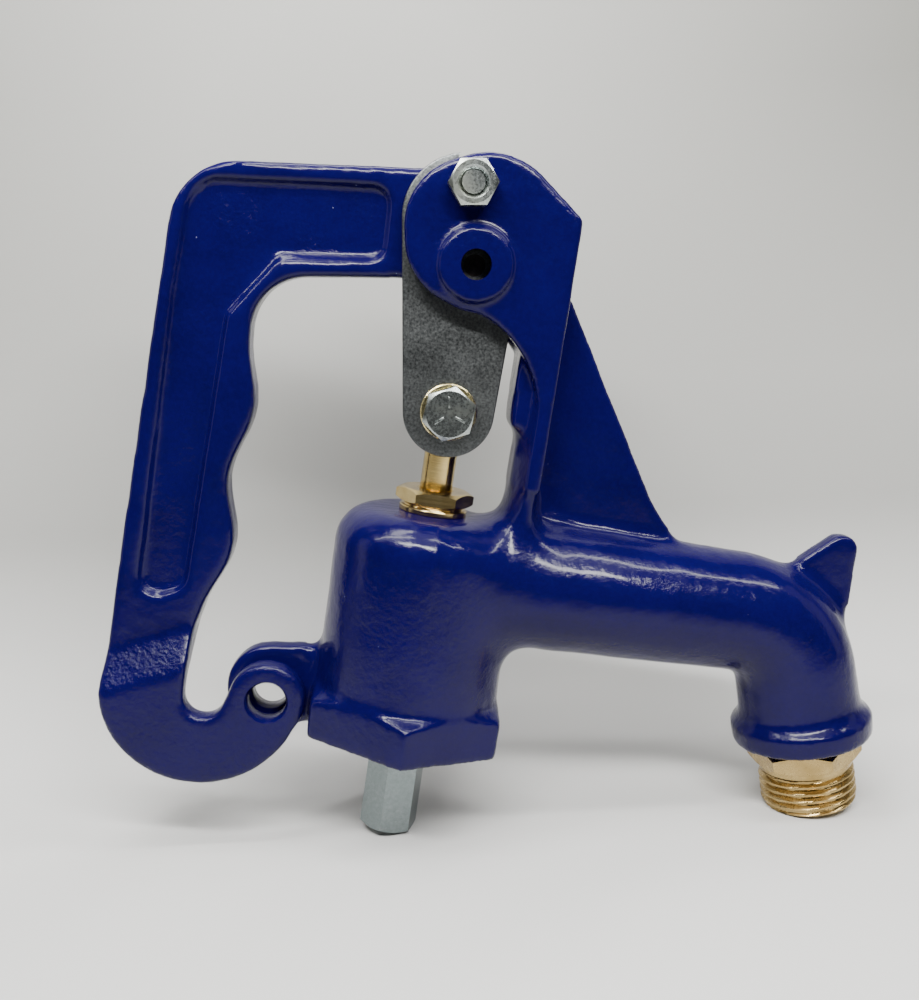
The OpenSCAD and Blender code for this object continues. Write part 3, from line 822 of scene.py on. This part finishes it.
def make_stem_hardware():
    face = -PLATE_OUT - BUSHING_FLANGE
    front = along((0, -1, 0), (STEM_BOLT.x, face, STEM_BOLT.z))
    head = hexagon(STEM_FLATS, 5.2, 0.95, front, -6)
    marks = []
    for k in range(3):
        bm = bmesh.new()
        turn = math.radians(-20 + 120 * k)
        place = front @ Matrix.Rotation(turn, 4, "Z") @ Matrix.Translation((3.1, 0, 5.25))
        bmesh.ops.create_cube(bm, size=1, matrix=place @ Matrix.Diagonal((3.0, 0.6, 0.5, 1)))
        bevel_edges(bm, 0.12)
        marks.append(as_object(bm, "mark"))
    bm = bmesh.new()
    rod_y(bm, STEM_BOLT.x, STEM_BOLT.z, 3.93, face - 0.1, PLATE_OUT + 1.2, 64)
    shank = as_object(bm, "shank")
    end = bolt_end(3.9, 8.7, 1.41, along((0, 1, 0), (STEM_BOLT.x, PLATE_OUT, STEM_BOLT.z)))
    bolt = merged([head, shank, end] + marks)
    finish_piece(bolt, "stem_bolt_long", "stem", ["stem_bolt"], bright_zinc, 28)
    rear = along((0, 1, 0), (STEM_BOLT.x, PLATE_OUT + FLAT_WASHER, STEM_BOLT.z))
    nut = hexagon(STEM_FLATS, 6.5, 0.95, rear, 12)
    hole = bmesh.new()
    lathe(hole, [(0, -1), (3.95, -1), (3.95, 5.6), (5.0, 6.8), (0, 6.8)], rear, 64)
    combine(nut, hole, "DIFFERENCE", "EXACT")
    finish_piece(nut, "stem_bolt_rear_nut", "stem", ["stem_bolt_nut"], bright_zinc, 28)
    bm = bmesh.new()
    lathe(bm, [(4.05, 0.1), (7.2, 0.1), (7.4, 0.3), (7.4, 1.1), (7.2, FLAT_WASHER), (4.05, FLAT_WASHER)],
          along((0, 1, 0), (STEM_BOLT.x, PLATE_OUT, STEM_BOLT.z)), 80)
    finish_piece(as_object(bm, "washer"), "stem_bolt_flat_washer", "stem", ["stem_bolt_washer"],
                 bright_zinc, 28)
    bm = bmesh.new()
    lathe(bm, [(4.0, 0.0), (7.2, 0.0), (7.5, 0.25), (7.5, 0.75), (7.2, 1.0), (5.2, BUSHING_FLANGE),
               (5.2, 2 * PLATE_OUT + 1.2), (4.0, 2 * PLATE_OUT + 1.2)],
          along((0, 1, 0), (STEM_BOLT.x, face, STEM_BOLT.z)), 80)
    finish_piece(as_object(bm, "bushing"), "stem_bolt_bushing", "stem", ["stem_bushing"],
                 yellow_zinc, 28)


# ---------------------------------------------------------------- link plates

def make_link_plate(name, node, y0, y1):
    bm = bmesh.new()
    hull_slab(bm, [(-2.7, 141.9, 16.4), (STEM_BOLT.x, STEM_BOLT.z, 12.1)], y0, y1, 96)
    for side in (1, -1):
        flat = [f for f in bm.faces if f.normal.y * side > 0.99]
        bmesh.ops.dissolve_faces(bm, faces=flat, use_verts=False)
    bevel_edges(bm, 0.45, 3, 60)
    plate = as_object(bm, "plate")
    # A hooked notch, which clears the pivot sleeve as the plates swing.
    notch = [(PIVOT.x, PIVOT.z, NOTCH_R), (PIVOT.x, PIVOT.z + 25, 0.1),
             (PIVOT.x + 24, PIVOT.z + 25, 0.1), (9.4, 142.8, HOOK_R)]
    hook = [(9.4, 142.8, HOOK_R), (14.8, 136.2, HOOK_R), (18.4, 131.6, HOOK_R), (24, 155, 5)]
    for circles in (notch, hook):
        cut = bmesh.new()
        hull_slab(cut, circles, y0 - 1, y1 + 1)
        combine(plate, cut, "DIFFERENCE", "EXACT")
    for x, z, r in ((STEM_BOLT.x, STEM_BOLT.z, BUSHING_HOLE_R), (LINK_PIN.x, LINK_PIN.z, 2.8)):
        cut = bmesh.new()
        rod_y(cut, x, z, r, y0 - 1, y1 + 1)
        combine(plate, cut, "DIFFERENCE", "EXACT")
    finish_piece(plate, name, "links", [node], plate_zinc, 30)


# ---------------------------------------------------------------- stem, packing and rod end

def make_stem():
    bm = bmesh.new()
    top = STEM_BOLT.z
    lathe(bm, [(0, NUT_TOP - 14.8), (3.3, NUT_TOP - 14.8), (3.8, NUT_TOP - 14.2), (3.8, NUT_TOP - 0.2),
               (4.5, NUT_TOP + 0.2), (4.5, top - 12.2), (4.7, top - 11.6), (5.6, top - 8.4),
               (5.7, top - 6), (0, top - 6)])
    shaft = as_object(bm, "shaft")
    bm = bmesh.new()
    lathe(bm, [(0, -5.85), (7.9, -5.85), (8.35, -5.6), (8.6, -5.1), (8.6, 5.1), (8.35, 5.6),
               (7.9, 5.85), (0, 5.85)], along((0, 1, 0), STEM_BOLT), 72)
    combine(shaft, bm, "UNION", "EXACT")
    hole = bmesh.new()
    rod_y(hole, STEM_BOLT.x, STEM_BOLT.z, BUSHING_HOLE_R, -20, 20)
    combine(shaft, hole, "DIFFERENCE", "EXACT")
    finish_piece(shaft, "brass_stem", "stem", ["stem"], stem_brass, 30)


def make_packing():
    bm = bmesh.new()
    t = BODY_TOP
    lathe(bm, [(4.6, 50), (8, 50), (8, t), (9.1, t + 0.02), (9.3, t + 0.25), (9.3, t + 1.35),
               (9.1, t + 1.6), (8.35, t + 1.7), (8.2, t + 2.0), (8.35, t + 2.3), (8.35, t + 2.6),
               (6.45, t + 2.6), (6.45, 53), (4.6, 53)])
    finish_piece(as_object(bm, "housing"), "packing_housing_brass", "head", ["packing_housing"],
                 nut_brass, 30)
    foot = t + 2.6
    nut = hexagon(GLAND_FLATS, 3.9, 1.0, Matrix.Translation((0, 0, foot)), 30)
    neck = bmesh.new()
    lathe(neck, [(4.6, foot - 4), (6.4, foot - 4), (6.4, foot + 1), (4.6, foot + 1)])
    hole = bmesh.new()
    lathe(hole, [(0, foot - 6), (4.6, foot - 6), (4.6, foot + 3.2), (5.3, foot + 4.1),
                 (0, foot + 4.1)])
    combine(nut, hole, "DIFFERENCE", "EXACT")
    nut = merged([nut, as_object(neck, "neck")])
    finish_piece(nut, "packing_gland_nut", "head", ["packing_nut"], nut_brass, 28)


def make_rod_end():
    low = ROD_END
    nut = hexagon(ROD_FLATS, 40, 0.9, Matrix.Translation((0, 0, low)), -16)
    hole = bmesh.new()
    lathe(hole, [(0, low - 0.1), (4.9, low - 0.1), (4.1, low + 0.9), (4.1, NUT_TOP + 1),
                 (0, NUT_TOP + 1)])
    combine(nut, hole, "DIFFERENCE", "EXACT")
    finish_piece(nut, "rod_coupling_nut", "stem", ["coupling_nut"], rod_zinc, 28)
    jam = hexagon(ROD_FLATS, 5, 0.8, Matrix.Translation((0, 0, NUT_TOP)))
    hole = bmesh.new()
    rod(hole, (0, 0, NUT_TOP - 1), UP, 4.55, 8)
    combine(jam, hole, "DIFFERENCE", "EXACT")
    finish_piece(jam, "rod_jam_nut", "stem", ["stem_jam_nut"], rod_zinc, 28)


# ---------------------------------------------------------------- hose adapter

def make_adapter():
    grip = hexagon(ADAPTER_FLATS, HEX_FOOT - HEX_START, 1.5, at_outlet(HEX_START), -10)
    neck = bmesh.new()
    lathe(neck, [(9.5, 8.2), (12.8, 8.2), (13.15, 8.8), (13.15, OUTLET_LEN - 1), (12.7, OUTLET_LEN),
                 (12.7, HEX_START + 0.5), (9.5, HEX_START + 0.5)], at_outlet())
    shoulder = bmesh.new()
    lathe(shoulder, [(9.5, HEX_FOOT - 0.6), (13.3, HEX_FOOT - 0.6), (13.4, HEX_FOOT),
                     (13.1, THREAD_START - 0.4), (12.3, THREAD_START), (12.3, THREAD_START + 0.6),
                     (9.5, THREAD_START + 0.6)], at_outlet())
    hole = bmesh.new()
    rod(hole, BEND_END, OUTLET_AXIS, ADAPTER_BORE_R, 60)
    combine(grip, hole, "DIFFERENCE", "EXACT")
    ridges = thread(13.5, 1.15, 25.4 / 11.5, THREAD_START, THREAD_END, at_outlet(),
                    r_core=ADAPTER_BORE_R, taper=1.5, steps=128)
    adapter = merged([grip, as_object(neck, "neck"), as_object(shoulder, "shoulder"), ridges])
    finish_piece(adapter, "brass_hose_adapter", "head", ["hose_adapter"], thread_brass, 40)


make_head()
make_handle()
make_pivot_hardware()
make_stem_hardware()
make_link_plate("front_link_plate", "link_plate_front", -PLATE_OUT, -PLATE_IN)
make_link_plate("rear_link_plate", "link_plate_rear", PLATE_IN, PLATE_OUT)
make_stem()
make_packing()
make_rod_end()
make_adapter()

for node, material in (("pivot_sleeve", sleeve_brass), ("link_pin", oiled_steel),
                       ("packing_gland", nut_brass), ("packing_rings", graphite),
                       ("packing_seat_washer", nut_brass), ("adapter_seal", seal_rubber)):
    part = frame["nodes"][node]
    for slot in part.material_slots:
        slot.material = material


# ---------------------------------------------------------------- floor, lights and camera

TILT = math.radians(10.8)
FLOOR_RIGHT = Vector((math.cos(TILT), 0, math.sin(TILT)))
FLOOR_UP = Vector((-math.sin(TILT), 0, math.cos(TILT)))
FLOOR_BACK = Vector((0, 1, 0))
FLOOR_POINT = Vector((7.6, 0, ROD_END)) * MM


def on_floor(right, back, up):
    return FLOOR_POINT + FLOOR_RIGHT * right + FLOOR_BACK * back + FLOOR_UP * up


def make_floor():
    """A pale sheet that runs under the object and curves up behind it."""
    bm = bmesh.new()
    wall_y = 0.085
    bend = 0.070
    wide = 3.2
    profile = [(-0.75, 0.0), (-0.4, 0.0), (-0.2, 0.0), (-0.1, 0.0), (wall_y - bend, 0.0)]
    profile += [(wall_y - bend + bend * math.sin(a), bend - bend * math.cos(a))
                for a in (math.radians(6 * i) for i in range(1, 16))]
    profile += [(wall_y, 0.2), (wall_y, 0.31)]
    rows = [bm.verts.new(on_floor(-wide / 2, back, up)) for back, up in profile]
    edges = [bm.edges.new(pair) for pair in zip(rows, rows[1:])]
    grown = bmesh.ops.extrude_edge_only(bm, edges=edges)
    moved = [g for g in grown["geom"] if isinstance(g, bmesh.types.BMVert)]
    bmesh.ops.translate(bm, verts=moved, vec=FLOOR_RIGHT * wide)
    for f in bm.faces:
        f.smooth = True
    floor = as_object(bm, "pale_sweep")
    mat, tree, shader, at = blank("pale_paper")
    height = along_axis(tree, at, FLOOR_UP)
    start = FLOOR_POINT.dot(FLOOR_UP)
    # Painted shade: where the sheet rises into the wall it is coloured darker than the floor, standing in
    # for the weaker light that reaches the wall.
    painted_wall_shade = span(tree, height, start + 0.005, start + 0.075)
    soft = noise_of(tree, at, 6, 3)
    low = mixed(tree, span(tree, soft, 0.3, 0.7), rgb(0.56, 0.56, 0.555), rgb(0.58, 0.58, 0.575))
    tone = mixed(tree, painted_wall_shade, low, rgb(0.37, 0.37, 0.358))
    # Painted pool of light and shade: the upper wall is coloured darker the farther it lies from a spot
    # near its top centre.
    painted_light_spot_distance = add(tree, "ShaderNodeVectorMath", {0: at, 1: tuple(on_floor(-0.01, wall_y, 0.20))},
              operation="DISTANCE").outputs["Value"]
    corner = arith(tree, "MULTIPLY", span(tree, painted_light_spot_distance, 0.05, 0.24),
                   span(tree, height, start + 0.12, start + 0.22))
    tone = mixed(tree, arith(tree, "MULTIPLY", corner, 0.75), tone, rgb(0.13, 0.13, 0.112))
    # Painted shade: the floor is coloured darker towards the front, standing in for the lamp's light
    # falling off there.
    depth = along_axis(tree, at, FLOOR_BACK)
    tone = mixed(tree, span(tree, depth, -0.30, -0.12, 1, 0), tone, rgb(0.10, 0.10, 0.10))
    tree.links.new(tone, shader.inputs["Base Color"])
    shader.inputs["Roughness"].default_value = 0.55
    shader.inputs["Specular IOR Level"].default_value = 0.2
    # The back of the sheet is clear, so that it doesn't hide the object from behind.
    clear = tree.nodes.new("ShaderNodeBsdfTransparent").outputs["BSDF"]
    behind = tree.nodes.new("ShaderNodeNewGeometry").outputs["Backfacing"]
    sheet = add(tree, "ShaderNodeMixShader", {0: behind, 1: shader.outputs["BSDF"], 2: clear})
    tree.links.new(sheet.outputs["Shader"], tree.nodes["Material Output"].inputs["Surface"])
    floor.data.materials.append(mat)


def area_light(name, place, target, width, height, power, colour=(1, 1, 1)):
    data = bpy.data.lights.new(name, "AREA")
    data.shape = "RECTANGLE"
    data.size = width
    data.size_y = height
    data.energy = power
    data.color = colour
    light = bpy.data.objects.new(name, data)
    light.location = place
    light.rotation_euler = (Vector(target) - Vector(place)).to_track_quat("-Z", "Y").to_euler()
    bpy.context.scene.collection.objects.link(light)


def make_lights():
    middle = on_floor(0.02, 0.0, 0.09)
    warm = (1.0, 0.99, 0.965)
    lamp = on_floor(0.03, -0.14, 0.44)
    front = FLOOR_BACK * 0.20
    side = FLOOR_RIGHT * 0.25
    area_light("lamp_panel", lamp, middle, 0.46, 0.36, 1.1, warm)
    area_light("lamp_front_strip", lamp - front, middle, 0.50, 0.045, 5.6, warm)
    area_light("lamp_back_strip", lamp + front, middle, 0.50, 0.045, 1.7, warm)
    area_light("lamp_left_strip", lamp - side, lamp - side - FLOOR_UP, 0.028, 0.40, 1.3, warm)
    area_light("lamp_right_strip", lamp + side, lamp + side - FLOOR_UP, 0.028, 0.40, 1.3, warm)
    area_light("left_wall", on_floor(-0.50, -0.05, 0.20), middle, 0.12, 0.34, 0.14)
    area_light("right_wall", on_floor(0.50, -0.05, 0.20), middle, 0.12, 0.34, 0.08)
    world = bpy.data.worlds.new("soft_room")
    world.use_nodes = True
    sky = world.node_tree.nodes["Background"]
    sky.inputs["Color"].default_value = rgb(0.9, 0.93, 1.0)
    sky.inputs["Strength"].default_value = 0.03
    bpy.context.scene.world = world


def make_camera():
    right = Vector((0.98833, -0.0451, 0.14547))
    up = Vector((-0.13562, 0.17403, 0.97536))
    back = right.cross(up).normalized()
    up = back.cross(right).normalized()
    right.normalize()
    data = bpy.data.cameras.new("camera")
    data.sensor_fit = "VERTICAL"
    data.sensor_height = 36
    data.lens = 39.6
    data.clip_start = 0.01
    camera = bpy.data.objects.new("camera", data)
    turn = Matrix((right, up, back)).transposed().to_4x4()
    camera.matrix_world = Matrix.Translation(Vector((-14.09, -298.05, 118.1)) * MM) @ turn
    bpy.context.scene.collection.objects.link(camera)
    bpy.context.scene.camera = camera


make_floor()
make_lights()
make_camera()
